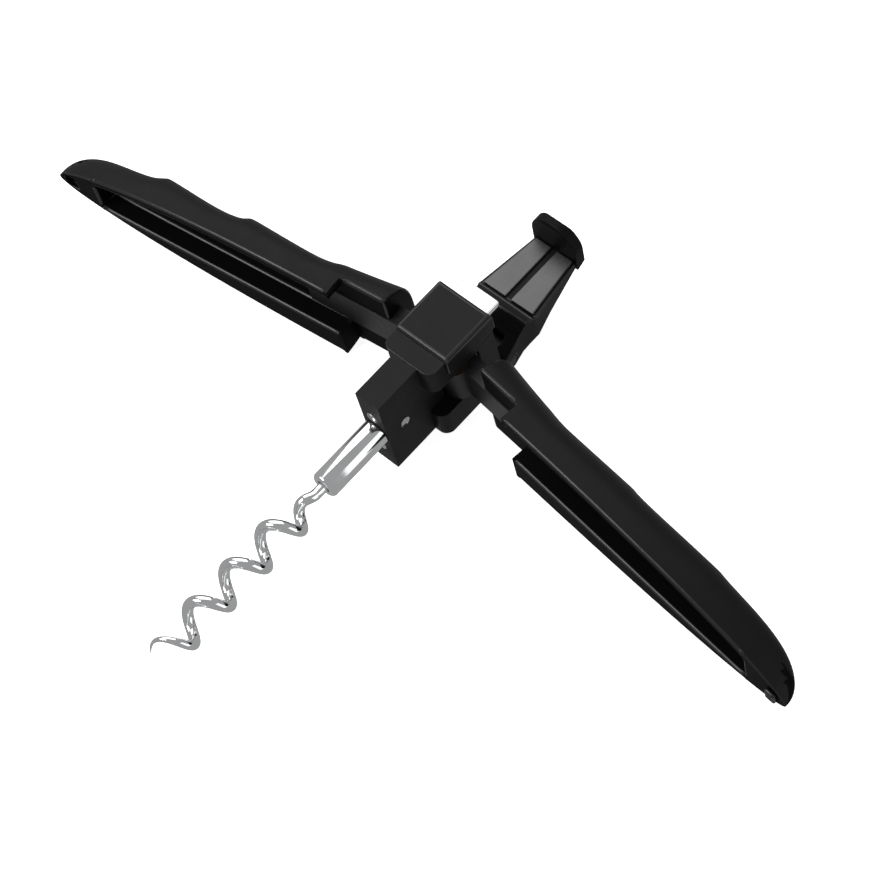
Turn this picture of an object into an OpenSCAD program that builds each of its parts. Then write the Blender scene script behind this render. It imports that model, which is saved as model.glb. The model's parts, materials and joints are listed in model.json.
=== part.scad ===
// Pocket lever corkscrew with two folding channel handles, a fixed worm and a hinged cap-lifter arm.
// X runs along the right handle, Y runs up the worm's axis and Z comes out of the front.
// The backs of the hub and handles lie on z = 0, and the worm's axis crosses x = 0.

/* [Hub] */
// Width of the hub across the handles
hub_w = 13.2; // [12.4:0.1:18]
// Depth of the hub and handles, back to front
hub_d = 24; // [20:0.5:32]
// Height of the hub above the origin
hub_top = 9.1; // [8:0.1:14]
// Depth of the crossbar below the origin
hub_drop = 8.6; // [7:0.1:12]
// Radius of the crossbar's lower corners
hub_r = 2.2; // [0.5:0.1:3]
// How far the square front cover reaches below the origin
cover_drop = 4.2; // [2:0.1:6]
// How far the front cover stands proud of the crossbar
cover_proud = 0.6; // [0.2:0.1:2]
// Overhang of the cover on each side
cover_over = 0.6; // [0:0.1:1]
// Thickness of the front cover
cover_t = 4.6; // [3.6:0.1:6]

/* [Stem and worm] */
// Width of the narrow stem
stem_w = 6.2; // [5.6:0.1:8]
// Length of the stem below the crossbar
stem_len = 11.4; // [8:0.1:20]
// Diameter of the steel shank
shank_d = 6.1; // [5:0.1:6.2]
// Length of shank that shows below the stem
shank_len = 16; // [8:0.5:24]
// Diameter of the spigot that holds the shank in the stem
spigot_d = 4; // [3:0.1:4.4]
// Outer diameter of the worm
worm_d = 8.4; // [7:0.1:11]
// Diameter of the worm's wire
wire_d = 2.4; // [1.6:0.1:3.2]
// Pitch of the worm's turns
worm_pitch = 10.4; // [7:0.1:14]
// Length of the worm below the shank
worm_len = 47.2; // [30:0.5:70]

/* [Handles] */
// Angle that each open handle droops below the X axis
droop = 6.6; // [0:0.1:15]
// Solid tip of a handle beyond the worm's point
tip_len = 11; // [8:0.1:20]
// Thickness of the grip outside the inner edges
grip_t = 9.7; // [9:0.1:12]
// Extra thickness of the grip at the hub
grip_swell = 1.8; // [0:0.1:2.5]
// Depth of the left handle's finger scallops
left_scallop = 1.5; // [0:0.1:2]
// Depth of the right handle's shallow scallops
right_scallop = 0.3; // [0:0.1:2]
// Distance between scallops
scallop_pitch = 24; // [20:0.5:28]
// Fall of the worm channel's rear wall towards the tip
wall_fall = 2; // [0:0.1:4]
// Least thickness of the rim behind the worm channel
rim_t = 1.6; // [1.2:0.1:3]
// Front wall of the worm channel
front_wall = 2.4; // [2:0.1:3.5]
// Height of the steel tang
tang_h = 4.2; // [3:0.1:4.4]
// Thickness of the steel tang between the hub plates
tang_t = 9.4; // [6:0.1:12]
// Reach of the tang from its hinge pin
tang_len = 31; // [28:0.5:36]
// Diameter of each handle's hinge pin
hinge_d = 3; // [2:0.1:4]

/* [Cap-lifter arm] */
// Length of the arm from its hinge to the inside of the lip
arm_len = 22.1; // [16:0.1:28]
// Height of the arm's front face above its hinge pin
arm_rise = 8.2; // [6:0.1:10]
// Width of the arm at its widest
arm_w = 15.2; // [13.6:0.1:20]
// Width of the arm at its tip
arm_tip_w = 11.2; // [8:0.1:13]
// Height of the lip above the arm's front face
lip_h = 8.2; // [6:0.1:12]
// Thickness of the lip
lip_t = 2.4; // [2.2:0.1:5]
// Diameter of the arm's hinge pin
arm_pin_d = 2.4; // [1.6:0.1:3]
// Width of the cap-lifter tooth
tooth_w = 9.2; // [6:0.1:11]
// Reach of the tooth above the hub
tooth_reach = 4.8; // [2:0.1:6]
// Thickness of the tooth
tooth_t = 1.6; // [1:0.1:2.4]

/* [Hidden] */
$fn = 48;
// Clearances: pins in their bores, seated pieces, and pieces that swing past each other
pin_gap = 0.04;
seat_gap = 0.05;
swing_gap = 0.5;
groove_gap = 0.45;
hinge_gap = 1;
close_gap = 0.1;
cut = 1;

// Heights of the layers
axis_z = hub_d / 2;
washer_t = 0.25;
slot_t = tang_t + 2 * (washer_t + seat_gap);
plate_t = (hub_d - slot_t) / 2;
front_z = hub_d - plate_t;
cover_z = hub_d + cover_proud - cover_t;
cover_w = hub_w + 2 * cover_over;
cover_top = hub_top + 0.5;

// Places along the worm's axis
stem_y = -hub_drop - stem_len;
shank_y = stem_y - shank_len;
worm_y = shank_y - worm_len;
shank_pin_y = stem_y + 5;
shank_pin_d = 2.4;
spigot_len = 9.6;

// Handles: u runs along the handle from its hinge pin, v runs outwards across it
pivot_x = stem_w / 2 + hinge_gap;
pivot_y = -0.4;
knuckle_r = hinge_d / 2 + 1.8;
tongue_y = pivot_y - knuckle_r - 0.4;
edge_v = -pivot_x + close_gap;
floor_v = edge_v - close_gap + worm_d / 2 + groove_gap;
neck_u = hub_drop + pivot_y + swing_gap + 0.1;
step_u = -stem_y + pivot_y + swing_gap + 0.1;
channel_u = -worm_y + pivot_y + swing_gap + 2.6;
handle_len = channel_u + tip_len;
tang_v = 0.1;
neck_v = 0.4;
tip_sink = 2;
scallop_u = step_u + 3.3;
dowel_d = 2;
dowel_us = [neck_u + 4.5, step_u + 4];
catch_u = handle_len - 4.6;
catch_w = 2.6;
catch_t = 3.4;
catch_reach = 1;

// Arm: hinge centre, and heights measured from the table
arm_r = 2.7;
arm_y = hub_top + arm_r + 0.4;
arm_z = arm_r + 0.1;
lug_w = hub_w / 2 + 0.2;
arm_front = arm_z + arm_rise;
lip_y = arm_y + arm_len;
plate_y = arm_y + 7.3;
panel_t = 0.6;
panel_gap = 1.5;
panel_rim = 0.9;
spring_t = 0.4;

// Fasteners
screw_d = 1.8;
screw_head_d = 3.2;
screw_head_t = 1.2;
screw_sink = 0.2;
hub_screw_x = hub_w / 2 - 2.2;
hub_screws = [[-hub_screw_x, 6.7], [hub_screw_x, 6.7], [0, -6.3]];
end_screw_z = 5.5;
end_head_d = 2.6;
end_head_t = 0.35;
spacer_y = 4.5;

function arc(cx, cy, r, from, to, steps = 8) =
    [for (i = [0:steps]) let (a = from + (to - from) * i / steps) [cx + r * cos(a), cy + r * sin(a)]];

// Share of the way from the step to the tip, and the half depth and middle height there
function along(u) = max(0, min(1, (u - step_u) / (handle_len - step_u)));
function half_depth(u) = axis_z * pow(1 - pow(along(u), 2.3), 0.58);
function mid_z(u) = axis_z - tip_sink * pow(along(u), 2);
function rear_z(u) = mid_z(u) - half_depth(u);
function front_edge_z(u) = mid_z(u) + half_depth(u);

// Scallops drop steeply on the hub's side and rise gently towards the tip
function scallop_at(u) = let (t = (u - scallop_u) / scallop_pitch, k = floor(t))
    u < scallop_u || k > 2 ? 0 : (k == 0 ? 0.5 : 1) * sin(180 * pow(min(1, (t - k) / 0.95), 0.55));
function swell_at(u) = grip_swell * pow(max(0, 1 - (u - neck_u - 4) / 16), 1.3);
function outer_v(u, scallop) =
    edge_v + (grip_t + swell_at(u) - scallop * scallop_at(u)) * sqrt(1 - pow(along(u), 6));
function inner_v(u) = u < step_u ? neck_v : edge_v;
// Height of the channel's rear wall, which clears the worm and leaves a rim behind it
function wall_z(u) = max(axis_z - worm_d / 2 - groove_gap - wall_fall * along(u), rear_z(u) + rim_t);

// Cross-section of a handle: flat inner side, square inner edges and a full round outer side
shell_steps = 14;
function shell_ring(u, v0, scallop) = [for (i = [0:shell_steps]) let (a = -90 + 180 * i / shell_steps)
    [u, v0 + (outer_v(u, scallop) - v0) * pow(cos(a), 2 / 3),
    mid_z(u) + half_depth(u) * sign(sin(a)) * pow(abs(sin(a)), 2 / 3)]];
function shell_us() = concat([neck_u, neck_u + 4, neck_u + 8, step_u - 0.02],
    [for (i = [0:30]) step_u + (handle_len - 10 - step_u) * i / 30],
    [for (i = [1:6]) handle_len - 0.1 - 9.9 * (1 - sin(15 * i))]);

module place_right() {
    translate([pivot_x, pivot_y, 0]) rotate([0, 0, -droop]) children();
}
module place_left() {
    mirror([1, 0, 0]) place_right() children();
}

// A closed skin over rings that have the same number of points
module skin(rings) {
    n = len(rings[0]);
    last = len(rings) - 1;
    points = [for (ring = rings, p = ring) p];
    sides = [for (k = [0:last - 1], i = [0:n - 1]) let (j = (i + 1) % n)
        each [[k * n + i, (k + 1) * n + i, (k + 1) * n + j], [k * n + i, (k + 1) * n + j, k * n + j]]];
    start = [[for (i = [0:n - 1]) i]];
    end = [[for (i = [n - 1:-1:0]) last * n + i]];
    polyhedron(points, concat(start, sides, end), convexity = 6);
}

module along_x(d, x0, x1, y, z) {
    translate([x0, y, z]) rotate([0, 90, 0]) cylinder(d = d, h = x1 - x0);
}
module down_y(d, y0, y1, z) {
    translate([0, y0, z]) rotate([90, 0, 0]) cylinder(d = d, h = y0 - y1);
}
module box(lo, hi) {
    translate(lo) cube(hi - lo);
}

// Outline of the hub plates: a rectangle with round lower corners
module hub_outline(y0, y1) {
    x = hub_w / 2 - hub_r;
    polygon(concat([[-hub_w / 2, y1]], arc(-x, y0 + hub_r, hub_r, 180, 270), arc(x, y0 + hub_r, hub_r, 270, 360),
        [[hub_w / 2, y1]]));
}

module hub_bores() {
    for (side = [-1, 1]) translate([side * pivot_x, pivot_y, -cut])
        cylinder(d = hinge_d + 2 * pin_gap, h = cover_z + cut);
    for (p = hub_screws) translate([p[0], p[1], -cut]) {
        cylinder(d = screw_d + 2 * pin_gap, h = front_z + 2.5 + cut);
        cylinder(d = screw_head_d + 2 * pin_gap, h = screw_sink + screw_head_t + cut);
    }
}

module stem() {
    color([0.09, 0.09, 0.1]) difference() {
        union() {
            box([-stem_w / 2, stem_y, 0], [stem_w / 2, -hub_drop, hub_d]);
            box([-stem_w / 2, -hub_drop, plate_t], [stem_w / 2, tongue_y, front_z]);
        }
        down_y(spigot_d + 2 * pin_gap, stem_y + spigot_len, stem_y - cut, axis_z);
        along_x(shank_pin_d + 2 * pin_gap, -stem_w, stem_w, shank_pin_y, axis_z);
        for (side = [-1, 1]) down_y(screw_d, stem_y + 5, stem_y - cut, axis_z + side * end_screw_z);
        hub_bores();
    }
}

module rear_plate() {
    color([0.07, 0.07, 0.08]) difference() {
        union() {
            linear_extrude(plate_t) hub_outline(-hub_drop, hub_top);
            along_x(2 * arm_r, -lug_w / 2, lug_w / 2, arm_y, arm_z);
            box([-lug_w / 2, hub_top - cut, 0.1], [lug_w / 2, arm_y, arm_z + arm_r]);
        }
        along_x(arm_pin_d + 2 * pin_gap, -hub_w, hub_w, arm_y, arm_z);
        hub_bores();
        for (side = [-1, 1]) translate([side * pivot_x, pivot_y, -cut]) cylinder(d = hinge_d + 1.3, h = 1.3 + cut);
        box([-lug_w / 2, spacer_y - 3, arm_z + arm_r + seat_gap], [lug_w / 2, arm_y + cut, plate_t + cut]);
    }
}

module front_plate() {
    color([0.2, 0.2, 0.21]) difference() {
        translate([0, 0, front_z]) linear_extrude(plate_t) hub_outline(-hub_drop, hub_top);
        box([-hub_w, -cover_drop, cover_z], [hub_w, hub_top + cut, hub_d + cut]);
        hub_bores();
    }
}

module front_cover() {
    edge = 0.7;
    color([0.06, 0.06, 0.07]) difference() {
        intersection() {
            box([-cover_w / 2, -cover_drop, cover_z], [cover_w / 2, cover_top, hub_d + cover_proud]);
            rotate([90, 0, 90]) linear_extrude(2 * cover_w, center = true)
                bevelled_side(-cover_drop, cover_top, cover_z, hub_d + cover_proud, edge);
            rotate([90, 0, 0]) linear_extrude(4 * cover_top, center = true)
                bevelled_side(-cover_w / 2, cover_w / 2, cover_z, hub_d + cover_proud, edge);
        }
        box([-tooth_w / 2, 1, cover_z - cut], [tooth_w / 2, cover_top + cut, cover_z + tooth_t]);
    }
}
module bevelled_side(a0, a1, z0, z1, edge) {
    polygon([[a0, z0], [a1, z0], [a1, z1 - edge], [a1 - edge, z1], [a0 + edge, z1], [a0, z1 - edge]]);
}

module spacer() {
    color([0.12, 0.12, 0.13]) difference() {
        box([-hub_w / 2, spacer_y, plate_t], [hub_w / 2, hub_top, front_z]);
        hub_bores();
    }
}

module cap_lifter() {
    color("silver") rotate([90, 0, 90]) linear_extrude(tooth_w, center = true)
        polygon([[1, cover_z], [hub_top + tooth_reach - 0.6, cover_z], [hub_top + tooth_reach, cover_z + 0.6],
            [hub_top + tooth_reach, cover_z + tooth_t], [1, cover_z + tooth_t]]);
}

module shank() {
    socket = 3;
    color("gainsboro") difference() {
        union() {
            down_y(spigot_d, stem_y + spigot_len - 0.2, stem_y - 1, axis_z);
            translate([0, stem_y, axis_z]) rotate([90, 0, 0]) rotate_extrude()
                polygon([[0, 0], [shank_d / 2, 0], [shank_d / 2, shank_len - 0.6],
                    [shank_d / 2 - 0.6, shank_len], [0, shank_len]]);
        }
        down_y(wire_d + 2 * pin_gap, shank_y + socket, shank_y - cut, axis_z);
        along_x(shank_pin_d + 2 * pin_gap, -stem_w, stem_w, shank_pin_y, axis_z);
    }
}

// The wire leaves the shank on the axis, swings out to full radius and ends in a tapered point
wire_sides = 8;
wire_steps_per_turn = 20;
root_len = 10;
point_len = 7;
socket_len = 2.8;
function worm_swing(s) = s < 1.5 ? 0 : s > root_len ? 1 : let (t = (s - 1.5) / (root_len - 1.5)) t * t * (3 - 2 * t);
function worm_angle(s) = 360 * (s + 0.43) / worm_pitch;
function worm_centre(s) = let (r = (worm_d - wire_d) / 2 * worm_swing(s), a = worm_angle(s))
    [r * cos(a), shank_y - s, axis_z + r * sin(a)];
function wire_r(s) = wire_d / 2 * (s < worm_len - point_len ? 1 : 1 - 0.85 * (s - worm_len + point_len) / point_len);
function unit(v) = v / norm(v);
function wire_ring(s) = let (
        c = worm_centre(s),
        t = unit(worm_centre(s + 0.05) - worm_centre(s - 0.05)),
        side = unit(cross(t, [cos(worm_angle(s)), 0, sin(worm_angle(s))])),
        out = cross(side, t))
    [for (i = [0:wire_sides - 1]) let (a = 360 * i / wire_sides) c + wire_r(s) * (cos(a) * out + sin(a) * side)];

module worm() {
    steps = ceil((worm_len + socket_len) / worm_pitch * wire_steps_per_turn);
    color("gainsboro") skin([for (k = [0:steps]) wire_ring(-socket_len + (worm_len + socket_len) * k / steps)]);
}

module shank_pin() {
    color("silver") along_x(shank_pin_d, -stem_w / 2 - 0.15, stem_w / 2 + 0.15, shank_pin_y, axis_z);
}

module end_screws() {
    color("silver") for (side = [-1, 1]) {
        down_y(screw_d - 2 * pin_gap, stem_y + 4.6, stem_y, axis_z + side * end_screw_z);
        down_y(end_head_d, stem_y, stem_y - end_head_t, axis_z + side * end_screw_z);
    }
}

module hub_screws() {
    color("dimgray") for (p = hub_screws) translate([p[0], p[1], screw_sink]) {
        cylinder(d = screw_head_d, h = screw_head_t);
        cylinder(d = screw_d, h = front_z + 2.3 - screw_sink);
    }
}

module hinge_pin() {
    color("silver") translate([pivot_x, pivot_y, screw_sink]) {
        cylinder(d = hinge_d + 1.2, h = 1.1);
        cylinder(d = hinge_d, h = cover_z - screw_sink - 0.1);
    }
}
module right_hinge_pin() { hinge_pin(); }
module left_hinge_pin() { mirror([1, 0, 0]) hinge_pin(); }

module hinge_washers() {
    color("goldenrod") for (side = [-1, 1], z = [plate_t, front_z - washer_t])
        translate([side * pivot_x, pivot_y, z]) difference() {
            cylinder(d = 2 * knuckle_r - 0.6, h = washer_t);
            translate([0, 0, -cut]) cylinder(d = hinge_d + 0.2, h = washer_t + 2 * cut);
        }
}

module handle_spring() {
    color("silver") box([-hub_w / 2 + 0.6, spacer_y - spring_t, axis_z - 3.5], [hub_w / 2 - 0.6, spacer_y, axis_z + 3.5]);
}

module arm_pin() {
    color("silver") along_x(arm_pin_d, -hub_w / 2 - 0.1, hub_w / 2 + 0.1, arm_y, arm_z);
}

module arm_spring() {
    top = arm_z + arm_r + seat_gap;
    color("silver") box([-lug_w / 2 + 0.3, spacer_y - 2.8, top], [lug_w / 2 - 0.3, hub_top + 0.4, top + spring_t]);
}

// Outline of the worm channel, seen square to the handle's inner side
module channel_outline() {
    steps = 16;
    us = [for (i = [0:steps]) step_u - cut + (channel_u - step_u + cut) * i / steps];
    polygon(concat([for (u = us) [u, wall_z(u)]],
        [for (i = [steps:-1:0]) [us[i], front_edge_z(us[i]) - front_wall]]));
}

module shell(scallop, with_catch_pocket = false) {
    color([0.07, 0.07, 0.08]) difference() {
        skin([for (u = shell_us()) shell_ring(u, inner_v(u), scallop)]);
        translate([0, floor_v, 0]) rotate([90, 0, 0]) linear_extrude(floor_v - edge_v + cut) channel_outline();
        box([neck_u - cut, tang_v - cut, axis_z - tang_t / 2 - seat_gap],
            [tang_len + seat_gap, tang_v + tang_h + seat_gap, axis_z + tang_t / 2 + seat_gap]);
        for (u = dowel_us) translate([u, tang_v + tang_h / 2, axis_z])
            cylinder(d = dowel_d + 2 * pin_gap, h = tang_t + 6.2, center = true);
        if (with_catch_pocket)
            box([catch_u - 0.5, edge_v - cut, mid_z(catch_u) - catch_t / 2 - 0.5],
                [catch_u + catch_w + 0.4, edge_v + catch_reach + 0.3, mid_z(catch_u) + catch_t / 2 + 0.5]);
    }
}
module right_shell() { place_right() shell(right_scallop); }
module left_shell() { place_left() shell(left_scallop, with_catch_pocket = true); }

module tang() {
    color([0.16, 0.16, 0.17]) difference() {
        union() {
            translate([0, 0, axis_z - tang_t / 2]) cylinder(r = knuckle_r, h = tang_t);
            box([0, tang_v, axis_z - tang_t / 2], [tang_len, tang_v + tang_h, axis_z + tang_t / 2]);
        }
        cylinder(d = hinge_d + 2 * pin_gap, h = hub_d);
        for (u = dowel_us) translate([u, tang_v + tang_h / 2, 0]) cylinder(d = dowel_d + 2 * pin_gap, h = hub_d);
    }
}
module right_tang() { place_right() tang(); }
module left_tang() { place_left() tang(); }

module dowels() {
    color("silver") for (u = dowel_us) translate([u, tang_v + tang_h / 2, axis_z])
        cylinder(d = dowel_d, h = tang_t + 6, center = true);
}
module right_dowels() { place_right() dowels(); }
module left_dowels() { place_left() dowels(); }

module tip_catch() {
    color([0.07, 0.07, 0.08]) place_right() box([catch_u, edge_v - catch_reach, mid_z(catch_u) - catch_t / 2],
        [catch_u + catch_w, edge_v, mid_z(catch_u) + catch_t / 2]);
}

// Side profile of the arm: wedge back, flat front and a round eye at the hinge
module arm_profile() {
    polygon(concat(arc(arm_y, arm_z, arm_r, 110, 275, 12), [[arm_y + 5, 2.9], [arm_y + 12, arm_front - 5],
        [lip_y + 1, arm_front - 1.8], [lip_y + 1, arm_front - panel_t],
        [plate_y, arm_front - panel_t], [plate_y - 0.6, arm_front], [plate_y - 2.4, arm_front - 0.4],
        [arm_y + 2.4, arm_z + 5]]));
}
module arm_outline() {
    polygon([[-hub_w / 2, arm_y - arm_r - 1], [hub_w / 2, arm_y - arm_r - 1], [hub_w / 2, arm_y + 3],
        [arm_w / 2, plate_y], [arm_tip_w / 2, lip_y], [arm_tip_w / 2, lip_y + 3], [-arm_tip_w / 2, lip_y + 3],
        [-arm_tip_w / 2, lip_y], [-arm_w / 2, plate_y], [-hub_w / 2, arm_y + 3]]);
}

module arm_lever() {
    color([0.08, 0.08, 0.09]) difference() {
        intersection() {
            rotate([90, 0, 90]) linear_extrude(2 * arm_w, center = true) arm_profile();
            linear_extrude(hub_d) arm_outline();
        }
        along_x(2 * arm_r + 0.8, -lug_w / 2 - 0.2, lug_w / 2 + 0.2, arm_y, arm_z);
        box([-lug_w / 2 - 0.2, arm_y - arm_r - cut, -cut], [lug_w / 2 + 0.2, arm_y + arm_r - 1, arm_z + arm_r + 2]);
        along_x(arm_pin_d + 2 * pin_gap, -hub_w, hub_w, arm_y, arm_z);
        linear_extrude(hub_d) cap_pocket_edges();
    }
}
module cap_pocket_edges() {
    for (side = [-1, 1]) translate([side * (arm_tip_w / 2 + 0.2), lip_y + 1.5]) square([2.4, 3], center = true);
}

module arm_panel() {
    half = panel_gap / 2;
    color([0.62, 0.62, 0.64]) translate([0, 0, arm_front - panel_t]) linear_extrude(panel_t)
        polygon([[half, plate_y + 0.1], [arm_w / 2 - panel_rim, plate_y + 0.1],
            [arm_tip_w / 2 - panel_rim + 0.2, lip_y - 0.1], [half, lip_y - 0.1]]);
}
module right_arm_panel() { arm_panel(); }
module left_arm_panel() { mirror([1, 0, 0]) arm_panel(); }

// The hooked tip: a sleeve over the arm's end with a domed lip that turns to the front
module arm_tip_cap() {
    lip_lean = 0.2;
    round_r = 1.2;
    spring_z = arm_front + 2.5;
    w = arm_tip_w / 2 + 0.4;
    color([0.05, 0.05, 0.06]) difference() {
        intersection() {
            rotate([90, 0, 90]) linear_extrude(2 * w, center = true)
                polygon(concat([[lip_y, arm_front - 2.8], [lip_y + lip_t, arm_front - 1.6]],
                    arc(lip_y + lip_t + lip_lean - round_r, arm_front + lip_h - round_r, round_r, 0, 180, 10),
                    [[lip_y, arm_front]]));
            translate([0, lip_y + 20, 0]) rotate([90, 0, 0]) linear_extrude(40)
                polygon(concat([[-w, 0], [w, 0]], [for (a = [0:9:180])
                    [w * cos(a), spring_z + (arm_front + lip_h - spring_z) * pow(sin(a), 0.9)]]));
        }
        box([-arm_tip_w / 2 + 0.9, lip_y - cut, arm_front - 5], [arm_tip_w / 2 - 0.9, lip_y + 1.05, arm_front - panel_t]);
    }
}

stem();
rear_plate();
front_plate();
front_cover();
spacer();
cap_lifter();
shank();
worm();
shank_pin();
end_screws();
hub_screws();
left_hinge_pin();
right_hinge_pin();
hinge_washers();
handle_spring();
arm_pin();
arm_spring();
left_shell();
right_shell();
left_tang();
right_tang();
left_dowels();
right_dowels();
tip_catch();
arm_lever();
left_arm_panel();
right_arm_panel();
arm_tip_cap();
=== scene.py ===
"""Looks of a pocket lever corkscrew: black grips on a deep hub, a chrome worm and a cap-lifter arm."""

import json
import math

import bmesh
import bpy
from bpy.props import FloatProperty, FloatVectorProperty, PointerProperty
from mathutils import Matrix, Vector


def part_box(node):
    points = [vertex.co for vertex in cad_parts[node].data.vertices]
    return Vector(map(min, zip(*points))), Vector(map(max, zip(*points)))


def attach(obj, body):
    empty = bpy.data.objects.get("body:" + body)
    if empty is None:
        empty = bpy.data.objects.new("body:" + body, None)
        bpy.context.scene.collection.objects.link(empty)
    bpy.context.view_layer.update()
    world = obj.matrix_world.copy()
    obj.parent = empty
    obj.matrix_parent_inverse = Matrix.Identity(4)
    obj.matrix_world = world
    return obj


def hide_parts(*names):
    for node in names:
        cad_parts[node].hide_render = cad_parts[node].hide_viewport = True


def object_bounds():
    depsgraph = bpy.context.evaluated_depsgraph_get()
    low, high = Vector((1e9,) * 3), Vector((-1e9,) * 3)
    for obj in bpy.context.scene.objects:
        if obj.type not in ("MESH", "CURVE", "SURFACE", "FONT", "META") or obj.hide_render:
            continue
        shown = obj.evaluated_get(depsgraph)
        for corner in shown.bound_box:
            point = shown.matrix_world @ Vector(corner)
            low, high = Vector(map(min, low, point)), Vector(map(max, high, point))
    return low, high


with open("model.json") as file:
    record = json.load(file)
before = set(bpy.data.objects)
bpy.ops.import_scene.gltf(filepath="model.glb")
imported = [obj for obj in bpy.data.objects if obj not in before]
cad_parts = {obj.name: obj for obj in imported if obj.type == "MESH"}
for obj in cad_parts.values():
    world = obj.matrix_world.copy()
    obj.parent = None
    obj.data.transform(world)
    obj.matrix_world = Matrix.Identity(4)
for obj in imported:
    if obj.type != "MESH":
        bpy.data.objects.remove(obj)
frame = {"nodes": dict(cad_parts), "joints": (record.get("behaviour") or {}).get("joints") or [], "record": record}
NODES = frame["nodes"]
JOINTS = {joint["name"]: joint for joint in frame["joints"]}
SLOTS = {part["node"]: part["material_slot"] for part in frame["record"]["subparts"]}
BODIES = {node: body for body, nodes in frame["record"]["behaviour"]["bodies"].items() for node in nodes}
CAD_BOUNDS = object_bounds()
MM = 0.001

bl_info = {
    "name": "Lever corkscrew",
    "version": (1, 0, 0),
    "blender": (4, 5, 0),
    "location": "View3D > Sidebar > Corkscrew",
    "description": "Builds the grips, hub, worm and cap lifter of a pocket lever corkscrew around its frame",
    "category": "Add Mesh",
}


# Settings

def length(name, description, default):
    """A size in metres, whose default is given in millimetres."""
    return FloatProperty(name=name, description=description, default=default * MM, subtype="DISTANCE",
                         unit="LENGTH")


def angle(name, description, default):
    """An angle, whose default is given in degrees."""
    return FloatProperty(name=name, description=description, default=math.radians(default), subtype="ANGLE")


def colour(name, description, default):
    return FloatVectorProperty(name=name, description=description, default=default, size=3, min=0, max=1,
                               subtype="COLOR")


def share(name, description, default):
    return FloatProperty(name=name, description=description, default=default, min=0, max=1, subtype="FACTOR")


class GripSettings(bpy.types.PropertyGroup):
    droop: angle("Droop", "Angle that an open handle hangs below the crosswise line", 6.6)
    thickness: length("Thickness", "Grip outside its inner edges", 9.7)
    swell: length("Swell", "Extra thickness at the hub", 1.8)
    left_scallop: length("Left scallops", "Depth of the finger scallops on the left grip", 1.5)
    right_scallop: length("Right scallops", "Depth of the shallow scallops on the right grip", 0.3)
    scallop_pitch: length("Scallop pitch", "Distance between scallops", 24)
    tip: length("Tip", "Solid tip beyond the worm channel", 11)
    tip_sink: length("Tip sink", "How far the tip's middle lies behind the hinge's", 2)
    channel_gap: length("Channel gap", "Gap between the worm and the channel's rear wall", 0.45)
    wall_fall: length("Wall fall", "Fall of the channel's rear wall towards the tip", 2)
    rim: length("Rim", "Least thickness of the rim behind the channel", 1.6)
    front_wall: length("Front wall", "Wall in front of the worm channel", 2.4)
    edge: length("Edge radius", "Radius of the grip's moulded edges", 0.55)
    catch_width: length("Catch width", "Length of the catch along the grip", 2.6)
    catch_depth: length("Catch depth", "Size of the catch from back to front", 3.4)
    catch_reach: length("Catch reach", "How far the catch stands out", 1)


class HubSettings(bpy.types.PropertyGroup):
    block_edge: length("Block edge", "Radius on the edges of the hub's blocks", 0.45)
    cover_edge: length("Cover edge", "Radius on the edges of the square cover", 0.3)
    tooth_edge: length("Tooth edge", "Radius on the edges of the cap-lifter tooth", 0.3)
    screw_slot: length("Screw slot", "Width of the slots in the screw heads", 0.5)


class WormSettings(bpy.types.PropertyGroup):
    wire: length("Wire", "Diameter of the worm's wire", 2.4)
    pitch: length("Pitch", "Distance between turns", 10.4)
    root: length("Root", "Length over which the wire swings out from the shank", 10)
    point: length("Point", "Length of the tapered point", 7)
    bore: length("Bore", "Diameter of the shank's open end", 3.1)


class ArmSettings(bpy.types.PropertyGroup):
    body_edge: length("Arm edge", "Radius on the edges of the arm", 0.7)
    panel_edge: length("Panel edge", "Radius on the edges of the metal panels", 0.18)
    tip_edge: length("Tip edge", "Radius on the edges of the hooked tip", 0.6)


class FinishSettings(bpy.types.PropertyGroup):
    grip: colour("Grip", "Satin black of the grips", (0.0082, 0.0082, 0.0085))
    cover: colour("Cover", "Black of the square cover", (0.0130, 0.0130, 0.0134))
    block: colour("Block", "Dark grey of the stem and front half", (0.0155, 0.0155, 0.0159))
    rubber: colour("Tip", "Black of the hooked tip", (0.0018, 0.0018, 0.0019))
    chrome: colour("Chrome", "Chrome plate", (0.86, 0.87, 0.88))
    steel: colour("Steel", "Bright steel", (0.62, 0.62, 0.63))
    panel: colour("Panels", "Brushed metal panels", (0.112, 0.112, 0.114))
    oxide: colour("Oxide", "Blackened steel of the tangs", (0.008, 0.008, 0.0084))
    brass: colour("Brass", "Washers", (0.20, 0.15, 0.07))


class StageSettings(bpy.types.PropertyGroup):
    azimuth: angle("Azimuth", "Camera's turn round the object", 58.1)
    elevation: angle("Elevation", "Camera's height above the horizon", 59.9)
    roll: angle("Roll", "Camera's roll about its view", -18.2)
    distance: length("Distance", "Camera's distance", 527)
    sight: angle("Field of view", "Camera's field of view", 18.75)
    aim_x: length("Aim X", "Point that the camera looks at", 10.8)
    aim_y: length("Aim Y", "Point that the camera looks at", -13.7)
    aim_z: length("Aim Z", "Point that the camera looks at", 12)
    sky: share("Sky", "Brightness of the surroundings", 0.36)
    key: FloatProperty(name="Key", description="Power of the key light", default=3.7, unit="POWER")
    side: FloatProperty(name="Side", description="Power of the light on the right", default=1.7, unit="POWER")
    low: FloatProperty(name="Low", description="Power of the light beyond the worm", default=4.5,
                       unit="POWER")


SETTINGS = {
    "corkscrew_grip": GripSettings,
    "corkscrew_hub": HubSettings,
    "corkscrew_worm": WormSettings,
    "corkscrew_arm": ArmSettings,
    "corkscrew_finish": FinishSettings,
    "corkscrew_stage": StageSettings,
}


def settings(name):
    return getattr(bpy.context.scene, "corkscrew_" + name)


# Shader maths

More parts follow.
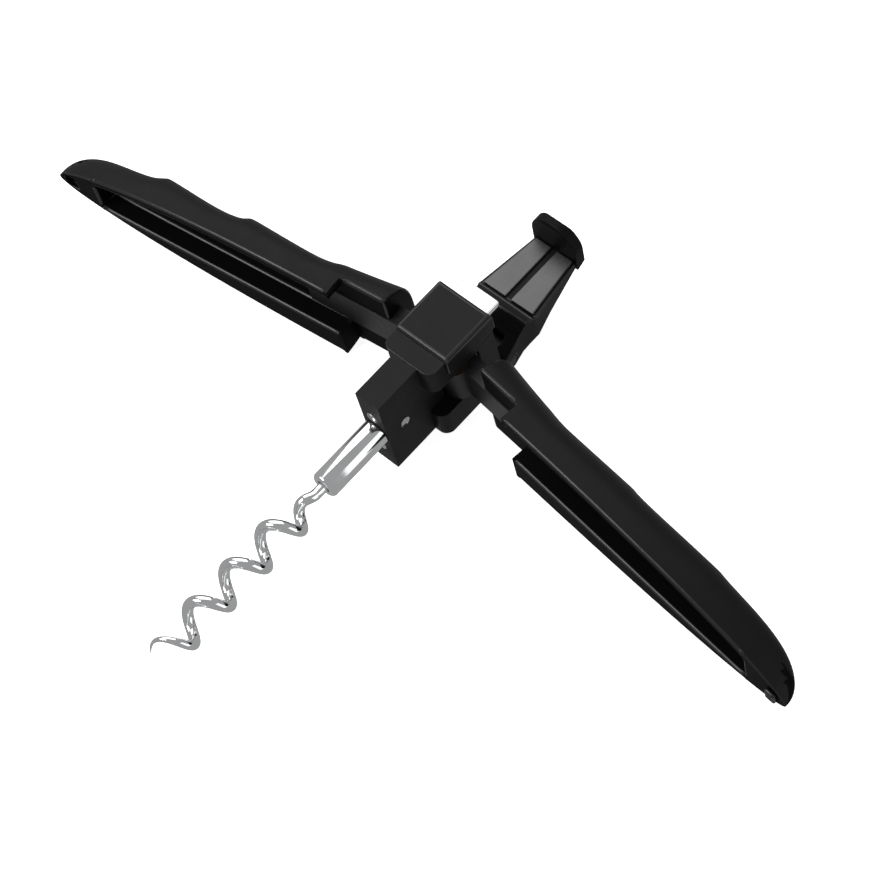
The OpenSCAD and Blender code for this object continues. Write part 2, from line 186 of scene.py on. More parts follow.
class Wire:
    """A shader socket that takes part in Python expressions, each of which adds its Math node."""

    def __init__(self, graph, socket):
        self.graph = graph
        self.socket = socket

    def math(self, operation, *values):
        return self.graph.node("ShaderNodeMath", {"operation": operation}, dict(enumerate(values)))

    def __add__(self, other):
        return self.math("ADD", self, other)

    def __sub__(self, other):
        return self.math("SUBTRACT", self, other)

    def __rsub__(self, other):
        return self.math("SUBTRACT", other, self)

    def __mul__(self, other):
        return self.math("MULTIPLY", self, other)

    __radd__ = __add__
    __rmul__ = __mul__


class Graph:
    """A material's node tree."""

    def __init__(self, material):
        material.use_nodes = True
        self.tree = material.node_tree
        self.tree.nodes.clear()

    def node(self, kind, given=None, sockets=None, out=0):
        """A node of that type, with its settings made first and then the values or links of its sockets."""
        made = self.tree.nodes.new(kind)
        for name, value in (given or {}).items():
            if name == "stops":
                ramp = made.color_ramp
                ramp.elements[0].position, ramp.elements[0].color = value[0]
                ramp.elements[1].position, ramp.elements[1].color = value[-1]
                for position, stop in value[1:-1]:
                    ramp.elements.new(position).color = stop
            else:
                setattr(made, name, value)
        for name, value in (sockets or {}).items():
            if isinstance(value, Wire):
                self.tree.links.new(value.socket, made.inputs[name])
            else:
                made.inputs[name].default_value = value
        return Wire(self, made.outputs[out])

    def place(self, scale=(1, 1, 1), turn=(0, 0, 0)):
        """Object coordinates, stretched and turned."""
        point = self.node("ShaderNodeTexCoord", out="Object")
        return self.node("ShaderNodeMapping", None, {"Vector": point, "Scale": scale, "Rotation": turn})

    def noise(self, scale, detail=3, roughness=0.55, stretch=(1, 1, 1), turn=(0, 0, 0)):
        return self.node("ShaderNodeTexNoise", None, {"Vector": self.place(stretch, turn), "Scale": scale,
                                                      "Detail": detail, "Roughness": roughness})

    def speckle(self, value, low, high):
        """A mask that rises from 0 to 1 as the value goes from low to high."""
        return self.node("ShaderNodeMapRange", {"interpolation_type": "SMOOTHSTEP"},
                         {"Value": value, "From Min": low, "From Max": high})

    def tint(self, factor, first, second):
        return self.node("ShaderNodeMix", {"data_type": "RGBA"},
                         {"Factor": factor, "A": (*first, 1), "B": (*second, 1)}, out=2)

    def bump(self, height, strength, distance):
        return self.node("ShaderNodeBump", None,
                         {"Height": height, "Strength": strength, "Distance": distance})

    def scuffs(self, scale=300):
        """A mask of sparse rubbed spots."""
        return self.speckle(self.noise(scale, 5, 0.65), 0.60, 0.85)

    def finish(self, **sockets):
        names = {name.replace("_", " ").title().replace("Ior", "IOR"): value
                 for name, value in sockets.items()}
        shader = self.node("ShaderNodeBsdfPrincipled", None, names)
        output = self.tree.nodes.new("ShaderNodeOutputMaterial")
        self.tree.links.new(shader.socket, output.inputs["Surface"])


def scaled(rgb, factor):
    return tuple(min(1.0, channel * factor) for channel in rgb)


def moulded(name, rgb, roughness, grain=0.25, scale=2600, gloss=0.13):
    """Satin moulded plastic: fine spark-eroded grain, faint flow clouds, rubbed spots and finger smudges."""
    material = bpy.data.materials.new(name)
    graph = Graph(material)
    clouds = graph.noise(60, 4)
    scuffs = graph.scuffs()
    smudge = graph.speckle(graph.noise(140, 5, 0.6), 0.35, 0.75)
    base = graph.tint(clouds, scaled(rgb, 0.82), scaled(rgb, 1.22))
    base = graph.node("ShaderNodeMix", {"data_type": "RGBA"},
                      {"Factor": scuffs * 0.4, "A": base, "B": (*scaled(rgb, 2.4), 1)}, out=2)
    graph.finish(base_color=base, roughness=roughness - 0.08 * scuffs + 0.08 * smudge,
                 normal=graph.bump(graph.noise(scale, 2, 0.6), grain, 0.00006), ior=1.45,
                 specular_ior_level=gloss)
    return material


def plated(name, rgb, roughness, wipes=0.06):
    """Bright plate: nearly mirror smooth, with soft wipes and fine hairlines."""
    material = bpy.data.materials.new(name)
    graph = Graph(material)
    wipe = graph.speckle(graph.noise(220, 4), 0.30, 0.80)
    hairline = graph.noise(700, 2, 0.5, (1, 0.06, 1))
    base = graph.tint(wipe, scaled(rgb, 0.96), rgb)
    graph.finish(base_color=base, metallic=1.0, roughness=roughness + wipes * wipe,
                 normal=graph.bump(hairline, 0.02, 0.00002))
    return material


def brushed(name, rgb, roughness, stretch, strength=0.30):
    """Brushed metal, whose lines run along the axis with the small stretch."""
    material = bpy.data.materials.new(name)
    graph = Graph(material)
    line = graph.noise(2600, 3, 0.6, stretch)
    stain = graph.speckle(graph.noise(160, 4), 0.35, 0.75)
    base = graph.tint(line * 0.7 + 0.3 * stain, scaled(rgb, 0.80), scaled(rgb, 1.18))
    graph.finish(base_color=base, metallic=1.0, roughness=roughness + 0.14 * line,
                 normal=graph.bump(line, strength, 0.00005))
    return material


def blackened(name, rgb, bare):
    """Black oxide on steel, rubbed bare in scattered spots."""
    material = bpy.data.materials.new(name)
    graph = Graph(material)
    wear = graph.scuffs(420)
    grain = graph.noise(1500, 4, 0.6)
    base = graph.tint(wear * 0.3, rgb, scaled(bare, 0.5))
    graph.finish(base_color=base, metallic=0.12 + 0.5 * wear, roughness=0.40 + 0.15 * grain,
                 normal=graph.bump(grain, 0.2, 0.00005))
    return material


def pale_floor(name):
    """A white sweep that lies a little brighter than its shadows."""
    material = bpy.data.materials.new(name)
    graph = Graph(material)
    paper = graph.noise(9, 3)
    base = graph.tint(paper, (0.90, 0.90, 0.90), (0.93, 0.93, 0.93))
    graph.finish(base_color=base, roughness=0.9, emission_color=(1, 1, 1, 1), emission_strength=0.85)
    return material


FINISHES = {}


def finishes(slot):
    """The finish of a material slot and that of its edges; all are made on the first call."""
    if not FINISHES:
        tone = settings("finish")
        polish = {"grain": 0.08, "gloss": 0.5}
        FINISHES.update({
            "black_plastic": (moulded("satin grip plastic", tone.grip, 0.40),
                              moulded("polished grip edge", tone.grip, 0.26, **polish)),
            "cover_plastic": (moulded("fine cover plastic", tone.cover, 0.44, 0.20),
                              moulded("polished cover edge", tone.cover, 0.30, **polish)),
            "grey_plastic": (moulded("matt block plastic", tone.block, 0.50, 0.30),
                             moulded("polished block edge", tone.block, 0.30, **polish)),
            # painted shade: the inner faces take the grip colour at 0.3, darker than the grips, for the shade on
            # the rims and in the channel
            "inner": (moulded("dull inner plastic with painted shade", scaled(tone.grip, 0.3), 0.62, gloss=0.06),),
            "soft_black": (moulded("soft tip rubber", tone.rubber, 0.50, 0.35, 1800),),
            "chrome": (plated("chrome plate", tone.chrome, 0.07),),
            "steel": (plated("bright steel", tone.steel, 0.20, 0.10),),
            "panel_metal": (brushed("brushed panel metal", tone.panel, 0.34, (1, 0.03, 1)),),
            "dark_steel": (blackened("blackened steel", tone.oxide, tone.steel),),
            "brass": (brushed("turned brass", tone.brass, 0.30, (1, 1, 0.1), 0.15),),
        })
    return FINISHES[slot]


# Mesh work

def new_piece(name, bm, node, smooth=40, slot=None):
    """Makes an object of the bmesh, which replaces the node, rides on its body and takes a slot's finish."""
    bmesh.ops.recalc_face_normals(bm, faces=bm.faces)
    mesh = bpy.data.meshes.new(name)
    bm.to_mesh(mesh)
    bm.free()
    for face in mesh.polygons:
        face.use_smooth = True
    mesh.set_sharp_from_angle(angle=math.radians(smooth))
    piece = bpy.data.objects.new(name, mesh)
    bpy.context.scene.collection.objects.link(piece)
    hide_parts(node)
    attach(piece, BODIES[node])
    mesh.materials.append(finishes(slot or SLOTS[node])[0])
    return piece


def weigh_normals(piece):
    """Keeps the broad faces flat in shading next to their rounded edges."""
    weighted = piece.modifiers.new("Flat faces", "WEIGHTED_NORMAL")
    weighted.keep_sharp = True
    weighted.weight = 80


def round_edges(piece, node, radius, limit=35, segments=3):
    """Rounds the edges that are sharper than the limit, with the edge finish where the slot has one."""
    edge = finishes(SLOTS[node])[1:]
    for material in edge:
        piece.data.materials.append(material)
    rounded = piece.modifiers.new("Rounded edges", "BEVEL")
    rounded.limit_method = "ANGLE"
    rounded.angle_limit = math.radians(limit)
    rounded.width = radius
    rounded.segments = segments
    rounded.miter_outer = "MITER_ARC"
    rounded.material = len(edge)
    weigh_normals(piece)
    return rounded


def node_bmesh(node):
    """A clean copy of a CAD node's mesh: shared vertices and whole flat faces."""
    bm = bmesh.new()
    bm.from_mesh(NODES[node].data)
    bmesh.ops.remove_doubles(bm, verts=bm.verts, dist=0.002 * MM)
    bmesh.ops.dissolve_limit(bm, angle_limit=math.radians(1.5), verts=bm.verts, edges=bm.edges)
    return bm


def rounded_copy(name, node, radius, limit=35):
    piece = new_piece(name, node_bmesh(node), node)
    round_edges(piece, node, radius, limit)


def wrapped(steps, around, place):
    """A grid wrapped into a closed tube: place(i, j) gives each point, and points that meet are merged."""
    bm = bmesh.new()
    bmesh.ops.create_grid(bm, x_segments=steps, y_segments=around, size=0.5)
    for vertex in bm.verts:
        vertex.co = place(round((vertex.co.x + 0.5) * steps), round((vertex.co.y + 0.5) * around) % around)
    bmesh.ops.remove_doubles(bm, verts=bm.verts, dist=0.001 * MM)
    return bm


def turned(profile, centre, direction, steps=48):
    """A bmesh turned on a lathe: the profile's (radius, distance) pairs run along the direction."""
    bm = bmesh.new()
    add_turned(bm, profile, centre, direction, steps)
    return bm


def add_turned(bm, profile, centre, direction, steps=48):
    part = bmesh.new()
    chain = [part.verts.new((radius, 0, along)) for radius, along in profile]
    edges = [part.edges.new(pair) for pair in zip(chain, chain[1:])]
    bmesh.ops.spin(part, geom=chain + edges, cent=(0, 0, 0), axis=(0, 0, 1), angle=math.tau, steps=steps,
                   use_merge=True)
    bmesh.ops.remove_doubles(part, verts=part.verts, dist=0.001 * MM)
    turn = Vector(direction).to_track_quat("Z", "X").to_matrix().to_4x4()
    bmesh.ops.transform(part, matrix=Matrix.Translation(centre) @ turn, verts=part.verts)
    mesh = bpy.data.meshes.new("turned")
    part.to_mesh(mesh)
    part.free()
    bm.from_mesh(mesh)
    bpy.data.meshes.remove(mesh)


def cut_box(piece, centre, size, turn=0.0, axis="Z"):
    """Cuts a box out of a piece and keeps the result as its mesh."""
    bm = bmesh.new()
    bmesh.ops.create_cube(bm, size=1)
    bmesh.ops.scale(bm, vec=size, verts=bm.verts)
    bmesh.ops.rotate(bm, matrix=Matrix.Rotation(turn, 3, axis), verts=bm.verts)
    bmesh.ops.translate(bm, vec=centre, verts=bm.verts)
    mesh = bpy.data.meshes.new("cutter")
    bm.to_mesh(mesh)
    bm.free()
    cutter = bpy.data.objects.new("cutter", mesh)
    bpy.context.scene.collection.objects.link(cutter)
    modifier = piece.modifiers.new("Cut", "BOOLEAN")
    modifier.object = cutter
    modifier.solver = "EXACT"
    bpy.context.view_layer.update()
    evaluated = piece.evaluated_get(bpy.context.evaluated_depsgraph_get())
    result = bpy.data.meshes.new_from_object(evaluated)
    piece.modifiers.clear()
    piece.data = result
    bpy.data.objects.remove(cutter)


# Grips

HUB_GAP = 0.6          # clearance between a grip and the hub's or the stem's end
CHANNEL_PAST_WORM = 3.1
INNER_GAP = 0.1        # each inner edge stays this far from the middle plane when folded
NECK_V = 0.4
FLOOR_V = 0.55
SCALLOP_COUNT = 3
FIRST_SCALLOP = 3.3    # from the neck's step
SWELL_START, SWELL_LENGTH = 4, 16
SPLIT_STEP, LEAST_SPLIT = 0.002, 0.3
LEAST_WALL = 0.2       # each side of the channel's middle


class Grip:
    """The shape of one grip, in millimetres along (u), across (v) and up from its hinge pin."""

    def __init__(self, side):
        own = settings("grip")
        joint = Vector(JOINTS["right_fold"]["pos_m"]) / MM
        stem, hub, worm = (Vector(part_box(node)[0]) / MM for node in ("stem", "rear_plate", "worm"))
        self.side = side
        self.hinge = joint
        self.droop = own.droop
        self.neck_u = -hub.y + joint.y + HUB_GAP
        self.step_u = -stem.y + joint.y + HUB_GAP
        self.channel_u = -worm.y + joint.y + CHANNEL_PAST_WORM
        self.tip_u = self.channel_u + own.tip / MM
        self.edge_v = -joint.x + INNER_GAP
        self.neck_v = NECK_V
        self.floor_v = FLOOR_V
        self.axis_z = joint.z
        self.thickness = own.thickness / MM
        self.swell = own.swell / MM
        self.scallop = (own.right_scallop if side > 0 else own.left_scallop) / MM
        self.pitch = own.scallop_pitch / MM
        self.sink = own.tip_sink / MM
        self.wall_z = worm.z - own.channel_gap / MM
        self.wall_fall = own.wall_fall / MM
        self.rim = own.rim / MM
        self.front_wall = own.front_wall / MM

    def along(self, u):
        return max(0.0, min(1.0, (u - self.step_u) / (self.tip_u - self.step_u)))

    def half_depth(self, u):
        return self.axis_z * (1 - self.along(u) ** 2.3) ** 0.58

    def mid_z(self, u):
        return self.axis_z - self.sink * self.along(u) ** 2

    def dip(self, u):
        """How far into a scallop a point lies, steep on the hub's side."""
        t = (u - self.step_u - FIRST_SCALLOP) / self.pitch
        if t < 0 or t >= SCALLOP_COUNT:
            return 0.0
        depth = 0.5 if t < 1 else 1.0
        return depth * math.sin(math.pi * min(1.0, (t % 1) / 0.95) ** 0.55)

    def outer_v(self, u):
        swell = self.swell * max(0.0, 1 - (u - self.neck_u - SWELL_START) / SWELL_LENGTH) ** 1.3
        body = self.thickness + swell - self.scallop * self.dip(u)
        return self.edge_v + body * math.sqrt(max(0.0, 1 - self.along(u) ** 9))

    def skin(self, u, spread):
        """A point on the outer skin: spread runs from -1 at the rear inner edge to 1 at the front one."""
        t = abs(spread)
        eased = t ** 1.5 / (t ** 1.5 + (1 - t) ** 1.5)
        bend = eased * math.pi / 2
        v = self.edge_v + (self.outer_v(u) - self.edge_v) * math.cos(bend) ** (2 / 3)
        return v, self.mid_z(u) + math.copysign(self.half_depth(u) * math.sin(bend) ** (2 / 3), spread)

    def world(self, u, v, z):
        x = self.hinge.x + u * math.cos(self.droop) + v * math.sin(self.droop)
        y = self.hinge.y - u * math.sin(self.droop) + v * math.cos(self.droop)
        return Vector((self.side * x, y, z)) * MM

    def local(self, point):
        """The distances along and across, and the height, of a point of the mesh."""
        x = self.side * point.x / MM - self.hinge.x
        y = point.y / MM - self.hinge.y
        return (x * math.cos(self.droop) - y * math.sin(self.droop),
                x * math.sin(self.droop) + y * math.cos(self.droop), point.z / MM)


# How many faces make each part of a cross-section
SKIRT, ARC, RIM, WALL, FLOOR = 4, 30, 2, 3, 8
# How many stations lie along the neck, the channel and the tip
NECK_STEPS, CHANNEL_STEPS, TIP_STEPS = 8, 56, 15
CHANNEL_END = 0.01     # thickness of the wall that closes the channel at once


def grip_ring(grip, u, inner_v, floor_v):
    """One cross-section: the outer skin, the rims at the inner edges, and the worm channel between them."""
    split = 1.0
    while grip.skin(u, split)[0] < grip.neck_v and split > LEAST_SPLIT:
        split -= SPLIT_STEP
    skirt = [split + (1 - split) * k / SKIRT for k in range(1, SKIRT + 1)]
    arc = [split * (2 * k / ARC - 1) for k in range(ARC + 1)]
    spreads = [-s for s in reversed(skirt)] + arc + skirt
    ring = []
    for spread in spreads:
        v, z = grip.skin(u, spread)
        if v < inner_v:
            v, z = grip.skin(u, math.copysign(split, spread))
            v = max(v, inner_v)
        ring.append((v, z))
    rear, front = ring[0][1], ring[-1][1]
    middle = (rear + front) / 2
    low = min(middle - LEAST_WALL, max(grip.wall_z - grip.wall_fall * grip.along(u), rear + grip.rim))
    high = max(middle + LEAST_WALL, front - grip.front_wall)
    ring += [(inner_v, front + (high - front) * k / RIM) for k in range(1, RIM + 1)]
    ring += [(inner_v + (floor_v - inner_v) * k / WALL, high) for k in range(1, WALL + 1)]
    ring += [(floor_v, high + (low - high) * k / FLOOR) for k in range(1, FLOOR + 1)]
    ring += [(floor_v + (inner_v - floor_v) * k / WALL, low) for k in range(1, WALL + 1)]
    ring += [(inner_v, low + (rear - low) * k / RIM) for k in range(1, RIM)]
    return ring


def grip_stations(grip):
    """Each station's distance along, inner face and channel floor, from the hub to the tip."""
    neck, step, end, tip = grip.neck_u, grip.step_u, grip.channel_u, grip.tip_u
    stations = [(neck + (step - neck) * k / NECK_STEPS, grip.neck_v, grip.neck_v)
                for k in range(NECK_STEPS + 1)]
    stations += [(step + (end - step) * k / CHANNEL_STEPS, grip.edge_v, grip.floor_v)
                 for k in range(CHANNEL_STEPS + 1)]
    stations += [(end + CHANNEL_END, grip.edge_v, grip.edge_v)]
    stations += [(end + (tip - end) * math.sin(math.radians(90 / TIP_STEPS * k)), grip.edge_v, grip.edge_v)
                 for k in range(1, TIP_STEPS)]
    return stations


def build_grip(name, node, side):
    grip = Grip(side)
    rings = [(u, grip_ring(grip, u, inner, floor)) for u, inner, floor in grip_stations(grip)]

    def centre(u, ring):
        return u, sum(v for v, z in ring) / len(ring), sum(z for v, z in ring) / len(ring)

    def place(i, j):
        if i == 0:
            return grip.world(*centre(*rings[0]))
        if i == len(rings) + 1:
            return grip.world(grip.tip_u, *centre(*rings[-1])[1:])
        u, ring = rings[i - 1]
        return grip.world(u, *ring[j])

    piece = new_piece(name, wrapped(len(rings) + 1, len(rings[0][1]), place), node)
    if side < 0:
        cut_catch_pocket(piece, grip)
    rounded = round_edges(piece, node, settings("grip").edge)
    rounded.limit_method = "WEIGHT"
    rounded.use_clamp_overlap = False
    mark_edges(piece.data, grip)
    # the last material paints shade: a darker plastic on the rims, the channel and the neck's inner side
    piece.data.materials.append(finishes("inner")[0])
    mark_inside(piece.data, grip)


CATCH_BACK = 4.6       # from the tip to the catch's near end
POCKET_START = 0.5     # clearance before the catch
POCKET_WIDTH_GAP, POCKET_REACH_GAP, POCKET_DEPTH_GAP = 0.7, 0.15, 0.6
POCKET_MOUTH = 1       # how far the cutter stands out of the grip


def cut_catch_pocket(piece, grip):
    """Cuts the pocket that the other grip's catch enters when both are folded."""
    own = settings("grip")
    width = own.catch_width / MM + POCKET_WIDTH_GAP
    reach = own.catch_reach / MM + POCKET_REACH_GAP
    depth = own.catch_depth / MM + POCKET_DEPTH_GAP
    u = grip.tip_u - CATCH_BACK - POCKET_START + width / 2
    v = grip.edge_v + (reach - POCKET_MOUTH) / 2
    centre = grip.world(u, v, grip.mid_z(u - width / 2 + POCKET_START))
    size = Vector((width, reach + POCKET_MOUTH, depth)) * MM
    cut_box(piece, centre, size, -grip.side * grip.droop)


SHARP_EDGE = math.radians(42)
STEP_CLEARANCE = 0.8   # edges this near the neck's step stay sharp
SHORTEST_EDGE = 0.25 * MM
TIP_FADE = 12 * MM


def mark_edges(mesh, grip):
    """Sets bevel weights on the sharp edges, which fade out towards the tip."""
    bm = bmesh.new()
    bm.from_mesh(mesh)
    weight = bm.edges.layers.float.new("bevel_weight_edge")
    tip = grip.world(grip.tip_u, grip.edge_v, grip.mid_z(grip.tip_u))
    for edge in bm.edges:
        if len(edge.link_faces) == 2 and edge.calc_face_angle() > SHARP_EDGE:
            nearest = min((vertex.co - tip).length for vertex in edge.verts)
            from_step = min(abs(grip.local(vertex.co)[0] - grip.step_u) for vertex in edge.verts)
            if from_step > STEP_CLEARANCE and edge.calc_length() > SHORTEST_EDGE:
                edge[weight] = min(1.0, nearest / TIP_FADE)
    bm.to_mesh(mesh)
    bm.free()


def mark_inside(mesh, grip):
    """Gives the last material, a darker plastic with painted shade, to the rims, the channel and the neck's inner
    side, and to part of the tip.
    """
    for face in mesh.polygons:
        u, v, z = grip.local(face.center)
        lip = abs(z - grip.mid_z(u)) < 0.9 * grip.half_depth(u)
        if v < grip.edge_v + 0.1 or (v < grip.floor_v + 0.05 and lip):
            face.material_index = len(mesh.materials) - 1


class CORKSCREW_OT_grips(bpy.types.Operator):
    """Builds both moulded grips, with their scallops and worm channels"""
    bl_idname = "corkscrew.grips"
    bl_label = "Grips"

    def execute(self, context):
        build_grip("right_grip", "right_shell", 1)
        build_grip("left_grip", "left_shell", -1)
        rounded_copy("catch_nub", "tip_catch", 0.5 * MM)
        for side in ("left", "right"):
            rounded_copy(side + "_tang_bar", side + "_tang", 0.3 * MM)
            dress(side + "_dowels")
        return {"FINISHED"}


def dress(node):
    """Gives a CAD node its slot's finish."""
    data = NODES[node].data
    data.materials.clear()
    data.materials.append(finishes(SLOTS[node])[0])
    for face in data.polygons:
        face.use_smooth = False


# Hub

class CORKSCREW_OT_hub(bpy.types.Operator):
    """Builds the hub's blocks, cover, stem and cap-lifter tooth"""
    bl_idname = "corkscrew.hub"
    bl_label = "Hub"

    def execute(self, context):
        own = settings("hub")
        rounded_copy("stem_block", "stem", own.block_edge)
        rounded_copy("rear_half", "rear_plate", own.block_edge)
        rounded_copy("front_half", "front_plate", own.block_edge)
        rounded_copy("spacer_block", "spacer", own.block_edge / 2)
        rounded_copy("square_cover", "front_cover", own.cover_edge)
        rounded_copy("lifter_tooth", "cap_lifter", own.tooth_edge)
        for node in ("hinge_washers", "handle_spring", "arm_spring"):
            dress(node)
        return {"FINISHED"}


def head_profile(radius, height, dome, stub):
    """A pan head seen from its top: a shallow dome, a rounded rim and the stub below it."""
    rim = [(radius * math.cos(a), height - dome + dome * math.sin(a))
           for a in (math.radians(10 * k) for k in range(9, -1, -1))]
    return [(0, height)] + rim[1:] + [(radius, 0), (radius * 0.55, 0), (radius * 0.55, -stub), (0, -stub)]


def screw_piece(name, node, heads, direction, profile, slot_depth, slot_turns):
    """Makes slotted heads in one piece: each sits at its own place and turns its slot its own way."""
    own = settings("hub")
    bm = bmesh.new()
    for place in heads:
        add_turned(bm, profile, place, direction, 40)
    piece = new_piece(name, bm, node)
    top = profile[0][1]
    for place, turn in zip(heads, slot_turns):
        axis = max(range(3), key=lambda k: abs(direction[k]))
        size = [own.screw_slot] * 3
        size[axis] = 2 * slot_depth
        size[(axis + 1) % 3] = 3 * profile[-4][0]
        cut_box(piece, Vector(place) + Vector(direction) * top, size, turn, "XYZ"[axis])
    for face in piece.data.polygons:
        face.use_smooth = True
    piece.data.set_sharp_from_angle(angle=math.radians(35))


class CORKSCREW_OT_fasteners(bpy.types.Operator):
    """Builds the pins, rivets and slotted screws"""
    bl_idname = "corkscrew.fasteners"
    bl_label = "Fasteners"

    def execute(self, context):
        low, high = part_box("end_screws")
        stem_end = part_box("stem")[0].y
        places = [(0, stem_end, z) for z in (low.z + 1.3 * MM, high.z - 1.3 * MM)]
        profile = head_profile(1.3 * MM, stem_end - low.y, 0.25 * MM, 4 * MM)
        screw_piece("end_screw_heads", "end_screws", places, (0, -1, 0), profile, 0.18 * MM,
                    (math.radians(25), math.radians(-40)))

        low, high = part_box("hub_screws")
        head = 1.6 * MM
        across = high.x - head
        spots = [(-across, high.y - head), (across, high.y - head), (0, low.y + head)]
        profile = head_profile(head, 1.1 * MM, 0.35 * MM, 8 * MM)
        places = [(x, y, low.z + 1.1 * MM) for x, y in spots]
        screw_piece("back_screws", "hub_screws", places, (0, 0, -1), profile, 0.5 * MM,
                    (math.radians(15), math.radians(70), math.radians(-35)))

        low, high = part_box("shank_pin")
        radius = (high.y - low.y) / 2
        middle = (low + high) / 2
        bulge = [(radius * 0.75, 0.22 * MM), (radius, 0.05 * MM)]
        ends = [(0, high.x)] + [(r, high.x - d) for r, d in bulge]
        profile = ends + [(r, -along) for r, along in reversed(ends)]
        new_piece("cross_pin", turned(profile, (0, middle.y, middle.z), (1, 0, 0), 32), "shank_pin")

        for side in ("left", "right"):
            node = side + "_hinge_pin"
            low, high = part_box(node)
            radius = (high.x - low.x) / 2
            shaft = radius - 0.6 * MM
            profile = [(0, 0), (radius * 0.55, 0.02 * MM), (radius * 0.9, 0.2 * MM), (radius, 0.45 * MM),
                       (radius, 1.1 * MM), (shaft, 1.1 * MM), (shaft, high.z - low.z), (0, high.z - low.z)]
            centre = ((low.x + high.x) / 2, (low.y + high.y) / 2, low.z)
            new_piece(side + "_pivot_rivet", turned(profile, centre, (0, 0, 1)), node, 50)

        low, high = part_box("arm_pin")
        radius = (high.y - low.y) / 2
        ends = [(0, high.x), (radius * 0.6, high.x - 0.04 * MM), (radius * 0.95, high.x - 0.2 * MM),
                (radius, high.x - 0.4 * MM)]
        profile = ends + [(r, -along) for r, along in reversed(ends)]
        centre = (0, (low.y + high.y) / 2, (low.z + high.z) / 2)
        new_piece("arm_pivot", turned(profile, centre, (1, 0, 0), 32), "arm_pin", 50, "dark_steel")
        return {"FINISHED"}


# Shank and worm

class CORKSCREW_OT_shank(bpy.types.Operator):
    """Turns the chrome shank, with its chamfers and the open bore that the wire enters"""
    bl_idname = "corkscrew.shank"
    bl_label = "Shank"

    def execute(self, context):
        low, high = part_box("shank")
        radius = (high.x - low.x) / 2
        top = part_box("stem")[0].y
        bore = settings("worm").bore / 2
        sleeve = top - low.y
        profile = [(0, -8 * MM), (radius * 0.6, -8 * MM), (radius * 0.6, 0), (radius - 0.25 * MM, 0),
                   (radius, 0.25 * MM), (radius, sleeve - 0.7 * MM), (radius - 0.2 * MM, sleeve - 0.3 * MM),
                   (radius - 0.6 * MM, sleeve), (bore + 0.2 * MM, sleeve), (bore, sleeve - 0.2 * MM),
                   (bore, sleeve - 3 * MM), (0, sleeve - 3 * MM)]
        centre = ((low.x + high.x) / 2, top, (low.z + high.z) / 2)
        new_piece("chrome_shank", turned(profile, centre, (0, -1, 0), 96), "shank", 30)
        return {"FINISHED"}


WIRE_SIDES = 20
STEPS_PER_TURN = 48


class CORKSCREW_OT_worm(bpy.types.Operator):
    """Wraps the wire round the worm's helix, from its socket in the shank to the ground point"""
    bl_idname = "corkscrew.worm"
    bl_label = "Worm"

    def execute(self, context):
        own = settings("worm")
        low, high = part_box("worm")
        start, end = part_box("shank")[0].y, low.y
        reach = start - end
        socket = high.y - start
        swing_radius = (high.z - low.z - own.wire) / 2
        shank_low, shank_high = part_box("shank")
        middle_z = shank_low.z + (shank_high.z - shank_low.z) / 2
        straight = 1.5 * MM
        phase = 0.43 * MM

        def path(s):
            t = min(1.0, max(0.0, (s - straight) / (own.root - straight)))
            radius = swing_radius * t * t * (3 - 2 * t)
            turn = math.tau * (s + phase) / own.pitch
            return Vector((radius * math.cos(turn), start - s, middle_z + radius * math.sin(turn)))

        def wire_radius(s):
            t = min(1.0, max(0.0, (s - reach + own.point) / own.point))
            return own.wire / 2 * max(0.0, 1 - 0.9 * t - 0.1 * t ** 12)

        steps = round((reach + socket) / own.pitch * STEPS_PER_TURN)

        def place(i, j):
            s = -socket + (reach + socket) * i / steps
            along = (path(s + 0.05 * MM) - path(s - 0.05 * MM)).normalized()
            turn = math.tau * (s + phase) / own.pitch
            side = along.cross(Vector((math.cos(turn), 0, math.sin(turn)))).normalized()
            out = side.cross(along)
            a = math.tau * j / WIRE_SIDES
            radius = 0 if i in (0, steps) else wire_radius(s)
            return path(s) + radius * (math.cos(a) * out + math.sin(a) * side)

        new_piece("wire_worm", wrapped(steps, WIRE_SIDES, place), "worm", 60)
        return {"FINISHED"}


# Cap-lifter arm

class CORKSCREW_OT_arm(bpy.types.Operator):
    """Builds the cap-lifter arm, its two brushed panels and its hooked tip"""
    bl_idname = "corkscrew.arm"
    bl_label = "Cap-lifter arm"

    def execute(self, context):
        own = settings("arm")
        rounded_copy("arm_body", "arm_lever", own.body_edge)
        rounded_copy("left_panel", "left_arm_panel", own.panel_edge)
        rounded_copy("right_panel", "right_arm_panel", own.panel_edge)
        rounded_copy("hooked_tip", "arm_tip_cap", own.tip_edge, 30)
        return {"FINISHED"}


# Stage

KEY_PLACE = Vector((-0.45, 0.30, 0.62))
SIDE_PLACE = Vector((0.85, 0.20, 0.25))
LOW_PLACE = Vector((-0.42, -0.60, 0.62))
FLOOR_HALF = 2.5


def area_light(name, place, target, size, power):
    data = bpy.data.lights.new(name, "AREA")
    data.shape = "RECTANGLE"
    data.size, data.size_y = size
    data.energy = power
    light = bpy.data.objects.new(name, data)
    light.location = place
    light.rotation_euler = (Vector(target) - Vector(place)).to_track_quat("-Z", "Y").to_euler()
    light.visible_camera = False
    bpy.context.scene.collection.objects.link(light)


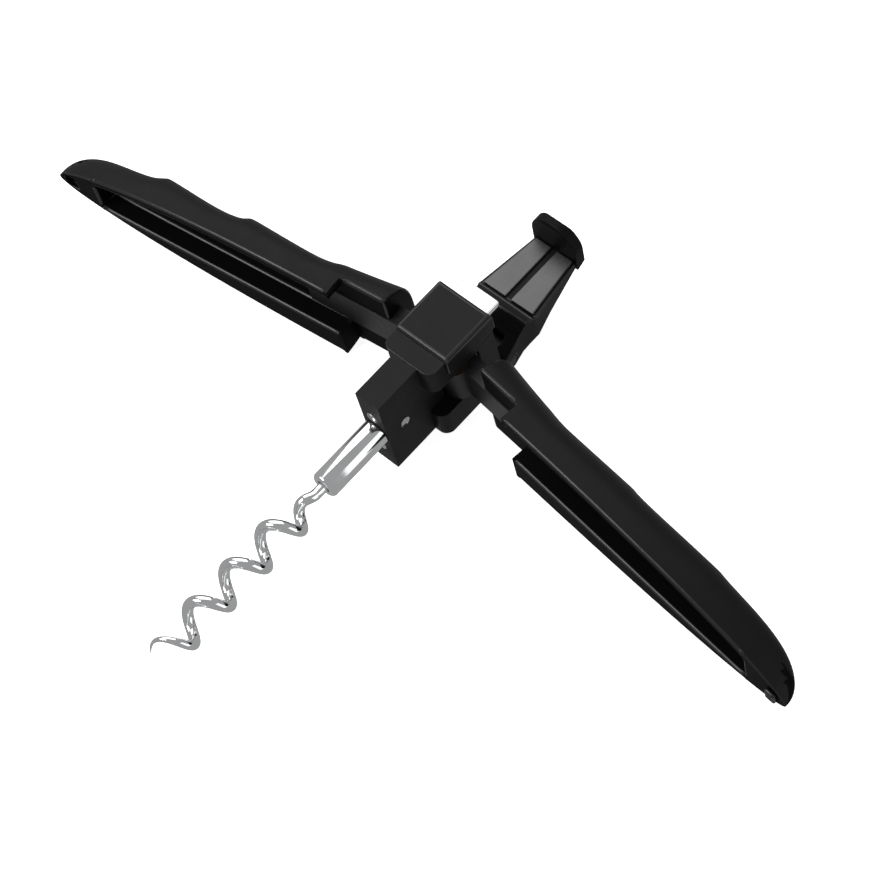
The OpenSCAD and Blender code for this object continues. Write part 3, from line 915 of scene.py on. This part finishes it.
class CORKSCREW_OT_stage(bpy.types.Operator):
    """Sets up the pale floor, the soft lights and the camera"""
    bl_idname = "corkscrew.stage"
    bl_label = "Stage"

    def execute(self, context):
        scene = context.scene
        own = settings("stage")
        bm = bmesh.new()
        bmesh.ops.create_grid(bm, x_segments=4, y_segments=4, size=FLOOR_HALF)
        bmesh.ops.translate(bm, vec=(0, 0, CAD_BOUNDS[0].z - 0.2 * MM), verts=bm.verts)
        mesh = bpy.data.meshes.new("floor")
        bm.to_mesh(mesh)
        bm.free()
        floor = bpy.data.objects.new("floor", mesh)
        mesh.materials.append(pale_floor("floor_paper"))
        scene.collection.objects.link(floor)
        floor.visible_glossy = False
        floor.visible_diffuse = False

        world = bpy.data.worlds.new("studio")
        world.use_nodes = True
        background = world.node_tree.nodes["Background"]
        background.inputs["Color"].default_value = (1, 1, 1, 1)
        background.inputs["Strength"].default_value = own.sky
        scene.world = world
        aim = Vector((own.aim_x, own.aim_y, own.aim_z))
        area_light("key", aim + KEY_PLACE, aim, (0.85, 0.85), own.key)
        area_light("side", aim + SIDE_PLACE, aim, (0.6, 0.9), own.side)
        area_light("low", aim + LOW_PLACE, aim, (0.5, 0.4), own.low)

        back = Vector((math.sin(own.azimuth) * math.cos(own.elevation),
                       -math.cos(own.azimuth) * math.cos(own.elevation), math.sin(own.elevation)))
        right = Vector((math.cos(own.azimuth), math.sin(own.azimuth), 0))
        up = back.cross(right)
        side = right * math.cos(own.roll) + up * math.sin(own.roll)
        turn = Matrix((side, back.cross(side), back)).transposed()
        data = bpy.data.cameras.new("camera")
        data.angle = own.sight
        data.clip_start, data.clip_end = 0.01, 20
        camera = bpy.data.objects.new("camera", data)
        camera.matrix_world = Matrix.Translation(aim + back * own.distance) @ turn.to_4x4()
        scene.collection.objects.link(camera)
        scene.camera = camera
        scene.view_settings.view_transform = "Standard"
        return {"FINISHED"}


class CORKSCREW_PT_panel(bpy.types.Panel):
    bl_idname = "CORKSCREW_PT_panel"
    bl_label = "Lever corkscrew"
    bl_space_type = "VIEW_3D"
    bl_region_type = "UI"
    bl_category = "Corkscrew"

    def draw(self, context):
        for name, group in SETTINGS.items():
            box = self.layout.box()
            box.label(text=name.replace("corkscrew_", "").title())
            for field in group.__annotations__:
                box.prop(getattr(context.scene, name), field)
        for operator in OPERATORS:
            self.layout.operator(operator.bl_idname)


OPERATORS = (CORKSCREW_OT_stage, CORKSCREW_OT_grips, CORKSCREW_OT_hub, CORKSCREW_OT_fasteners,
             CORKSCREW_OT_shank, CORKSCREW_OT_worm, CORKSCREW_OT_arm)
CLASSES = (*SETTINGS.values(), *OPERATORS, CORKSCREW_PT_panel)


def register():
    for group in CLASSES:
        bpy.utils.register_class(group)
    for name, group in SETTINGS.items():
        setattr(bpy.types.Scene, name, PointerProperty(type=group))


def unregister():
    for name in SETTINGS:
        delattr(bpy.types.Scene, name)
    for group in reversed(CLASSES):
        bpy.utils.unregister_class(group)


def main():
    register()
    for operator in OPERATORS:
        group, name = operator.bl_idname.split(".")
        getattr(getattr(bpy.ops, group), name)()


if __name__ == "__main__":
    main()
